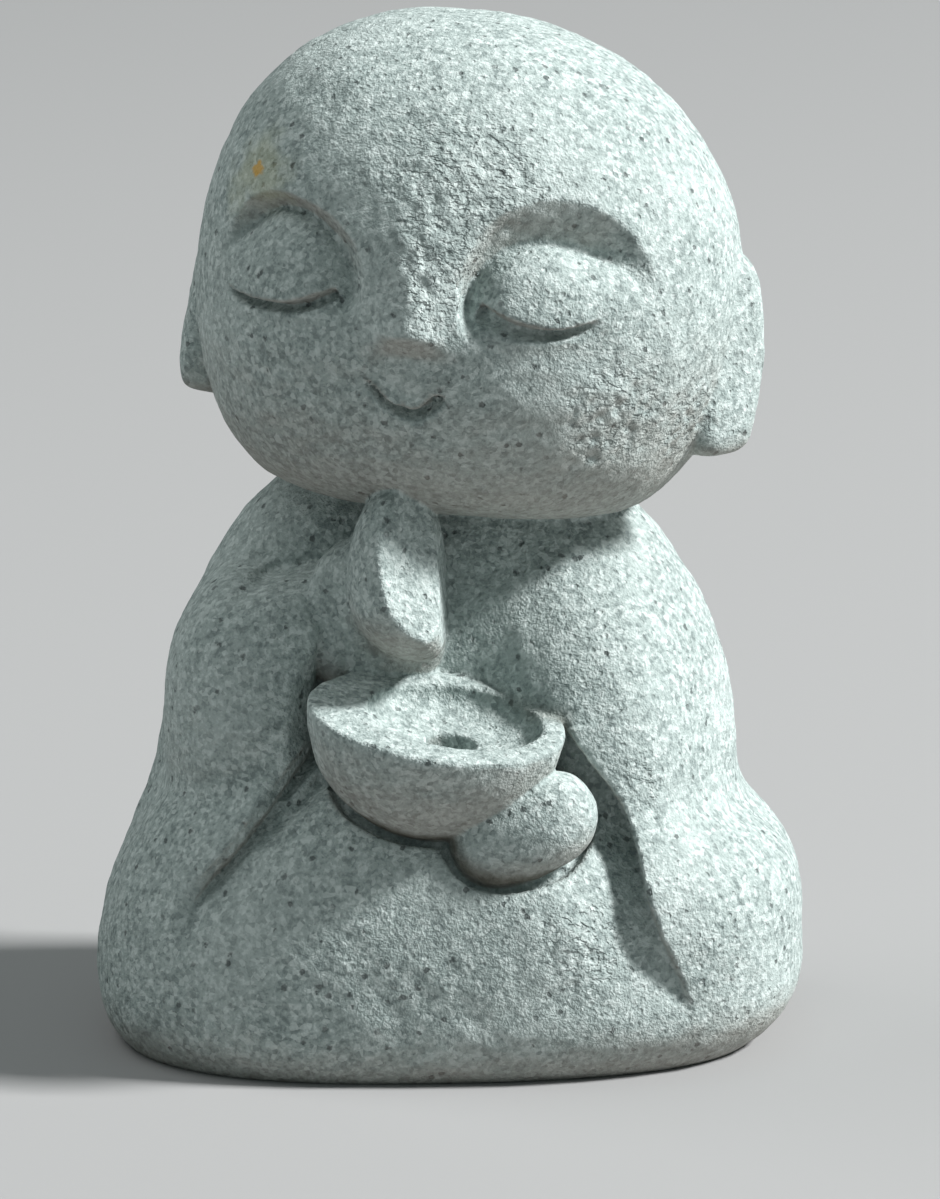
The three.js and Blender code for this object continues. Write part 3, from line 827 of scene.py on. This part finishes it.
def granite(stone):
    """Fine granite: pale and dark grains, black specks, dirt and painted shade in the joints, painted brown bounce
    light on the undersides and a stained brow.
    """
    s = Shader("granite")
    at = s.node("ShaderNodeTexCoord").out("Object")
    mm = s.node("ShaderNodeVectorMath", {"operation": "SCALE"}, {0: at, "Scale": 1 / MM}).out()

    def cloud(size, detail=2.0, roughness=0.5):
        inputs = {"Vector": mm, "Scale": 1 / size, "Detail": detail, "Roughness": roughness}
        return s.node("ShaderNodeTexNoise", {}, inputs).value("Fac")

    def cells(size, feature="F1", randomness=1.0):
        inputs = {"Vector": mm, "Scale": 1 / size, "Randomness": randomness}
        return s.node("ShaderNodeTexVoronoi", {"feature": feature}, inputs)

    def part(made, channel):
        return s.node("ShaderNodeSeparateColor", {}, {0: made.out("Color")}).value(channel)

    pecked = s.attribute("pecked")
    dirt_and_shade = s.attribute("dirt_and_shade")

    patches = cloud(38, 3)
    fine = cloud(stone.grain, 2.5, 0.6)
    mid = cloud(stone.grain * 2.4, 2)
    crystals = cells(stone.grain)
    kind = part(crystals, 0)
    colour = s.mixed((fine * 0.62 + mid * 0.38).ramp(0.5, 0.66) * 0.75, stone.body, stone.light)
    colour = s.mixed((fine * 0.6 + mid * 0.4).ramp(0.5, 0.36) * 0.7, colour, stone.dark)
    colour = s.mixed(kind.ramp(0.8, 0.86) * 0.5, colour, stone.light)
    colour = s.mixed(kind.ramp(0.16, 0.1) * 0.45, colour, stone.dark)
    colour = s.mixed(patches.ramp(0.45, 0.7) * 0.22, colour, stone.light)

    spots = cells(4.6)
    spot_kind = part(spots, 1)
    ragged = spots.value("Distance") + 0.5 * (cloud(1.3, 2) - 0.5)
    speck = ragged.ramp(0.24, 0.1) * spot_kind.ramp(0.5, 0.8)
    colour = s.mixed(speck * 0.7, colour, stone.speck)

    # Painted bounce light: the more a side faces down, the browner it is painted.
    facing = s.node("ShaderNodeSeparateXYZ", {}, {0: s.node("ShaderNodeNewGeometry").out("Normal")})
    down = facing.value("Z").ramp(0.05, -0.75)
    colour = s.mixed(down * (0.35 + 0.3 * patches), colour, stone.underside_bounce)

    place = s.node("ShaderNodeVectorMath", {"operation": "DISTANCE"}, {0: mm, 1: FLECK}).value("Value")
    stained = (place + 26 * (cloud(9, 3) - 0.5)).ramp(17, 2)
    colour = s.mixed(stained * 0.3, colour, stone.stain)
    spot = (place + 4.5 * (cloud(2.4, 2) - 0.5)).ramp(3.0, 1.4)
    colour = s.mixed(spot * 0.85, colour, stone.fleck)
    # Dirt and painted shade: the joint under the bowl and left hand goes nearly black.
    colour = s.mixed((dirt_and_shade * (0.75 + 0.7 * (mid - 0.5))).clamped(), colour, stone.dirt_and_shade)

    pits = cells(3.1)
    pit = pits.value("Distance").ramp(0.34, 0.12) * part(pits, 2).ramp(0.45, 0.6)
    pecks = s.node("ShaderNodeTexNoise", {}, {
        "Vector": s.node("ShaderNodeMapping", {}, {
            "Vector": mm, "Rotation": (0, math.radians(38), 0), "Scale": (0.7, 1, 1.1)}).out(),
        "Scale": 0.42, "Detail": 2.0, "Roughness": 0.55}).value("Fac")
    height = (
        stone.tooth * (0.9 * (fine - 0.5) + 0.5 * (cloud(stone.grain * 0.5, 2) - 0.5) + 0.6 * (mid - 0.5))
        - 0.35 * pit - 0.4 * speck - pecked * 0.7 * pecks.ramp(0.52, 0.36))
    bump = s.node("ShaderNodeBump", {}, {"Strength": 1.0, "Distance": MM, "Height": height}).out()
    dull = stone.roughness + 0.08 * (mid - 0.5)
    surface = s.node("ShaderNodeBsdfPrincipled", {}, {
        "Base Color": colour, "Roughness": dull, "Specular IOR Level": 0.3, "Normal": bump})
    return s.finish(surface.out())


def plain(name, colour, roughness):
    s = Shader(name)
    surface = s.node("ShaderNodeBsdfPrincipled", {}, {"Base Color": paint(colour), "Roughness": roughness})
    return s.finish(surface.out())


# ---- operators -----------------------------------------------------------------------------------------


class JIZO_OT_stage(bpy.types.Operator):
    """Adds the camera, the lights, the pale surroundings and the floor"""

    bl_idname = "jizo.stage"
    bl_label = "Add the studio"

    def execute(self, context):
        studio = context.scene.jizo_studio
        low, high = CAD_BOX
        aim = Vector((0.0056, 0, 0.4257 * (high.z - low.z)))
        back = Vector((
            math.sin(studio.azimuth) * math.cos(studio.elevation),
            -math.cos(studio.azimuth) * math.cos(studio.elevation),
            math.sin(studio.elevation)))
        camera = bpy.data.cameras.new("camera")
        camera.sensor_fit = "VERTICAL"
        camera.sensor_height = 36
        camera.lens = camera.sensor_height * studio.distance / studio.view_height
        self.place(context, "camera", camera, aim + back * studio.distance, aim)
        context.scene.camera = bpy.data.objects["camera"]

        middle = Vector((0, 0, 0.5 * high.z))
        self.softbox(context, "key", middle, (0.75, -0.05, 0.66), 7.8, 1.2, studio.key)
        self.softbox(context, "fill", middle, (-0.6, 0.1, 0.8), 2.1, 1.3, studio.fill)
        self.surroundings(context.scene, studio.sky)

        mesh = bpy.data.meshes.new("floor")
        half = 4.0
        corners = [(-half, -half, 0), (half, -half, 0), (half, half, 0), (-half, half, 0)]
        mesh.from_pydata(corners, [], [(0, 1, 2, 3)])
        floor = bpy.data.objects.new("floor", mesh)
        context.scene.collection.objects.link(floor)
        mesh.materials.append(plain("pale floor", studio.floor, 0.8))
        return {"FINISHED"}

    def place(self, context, name, data, location, target):
        thing = bpy.data.objects.new(name, data)
        thing.location = location
        thing.rotation_mode = "QUATERNION"
        thing.rotation_quaternion = (target - location).to_track_quat("-Z", "Y")
        context.scene.collection.objects.link(thing)

    def softbox(self, context, name, middle, direction, distance, size, power):
        light = bpy.data.lights.new(name, "AREA")
        light.size = size
        light.energy = power
        self.place(context, name, light, middle + Vector(direction).normalized() * distance, middle)

    def surroundings(self, scene, brightness):
        world = bpy.data.worlds.new("white room")
        world.use_nodes = True
        background = world.node_tree.nodes["Background"]
        background.inputs["Color"].default_value = (0.84, 1, 1, 1)
        background.inputs["Strength"].default_value = brightness
        scene.world = world
        scene.view_settings.view_transform = "Standard"


class JIZO_OT_statue(bpy.types.Operator):
    """Carves the jizo as one closed mesh and gives it its granite"""

    bl_idname = "jizo.statue"
    bl_label = "Carve the jizo"

    def execute(self, context):
        sizes = context.scene.jizo_carving
        step = sizes.step * 1.0
        low, high = [np.array(corner) / MM for corner in CAD_BOX]
        axes = [np.arange(a - 6 - step / 3, b + 6 + step, step) for a, b in zip(low, high)]

        def form(p):
            return statue(p, sizes)

        points, faces = surface_net(values_on_grid(form, axes), axes)
        points, normals = settle(form, points, step)
        points, rough = dressed(points, normals, sizes)
        if not len(points):
            raise RuntimeError("the form has no surface")
        # This layer marks the joint that is darkened with dirt and painted shade.
        piece = object_from("jizo_carving", points, faces, {"pecked": rough, "dirt_and_shade": dirt_and_shade_share(points)})
        thin_out(piece, sizes.triangles)
        piece.data.materials.append(granite(context.scene.jizo_stone))
        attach(piece, "root")
        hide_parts(NODE)
        return {"FINISHED"}


class JIZO_PT_sidebar(bpy.types.Panel):
    """The jizo's sizes, stone and studio"""

    bl_idname = "JIZO_PT_sidebar"
    bl_label = "Stone Jizo"
    bl_space_type = "VIEW_3D"
    bl_region_type = "UI"
    bl_category = "Jizo"

    def draw(self, context):
        for group, operator in (
                ("jizo_studio", "jizo.stage"), ("jizo_carving", "jizo.statue"), ("jizo_stone", None)):
            box = self.layout.box()
            settings = getattr(context.scene, group)
            for name in settings.__annotations__:
                box.prop(settings, name)
            if operator:
                box.operator(operator)


SETTINGS = {"jizo_stone": StoneSettings, "jizo_carving": CarvingSettings, "jizo_studio": StudioSettings}
CLASSES = (*SETTINGS.values(), JIZO_OT_stage, JIZO_OT_statue, JIZO_PT_sidebar)


def register():
    for one in CLASSES:
        bpy.utils.register_class(one)
    for name, group in SETTINGS.items():
        setattr(bpy.types.Scene, name, PointerProperty(type=group))


def unregister():
    for name in SETTINGS:
        delattr(bpy.types.Scene, name)
    for one in reversed(CLASSES):
        bpy.utils.unregister_class(one)


def main():
    register()
    bpy.ops.jizo.stage()
    bpy.ops.jizo.statue()


if __name__ == "__main__":
    main()
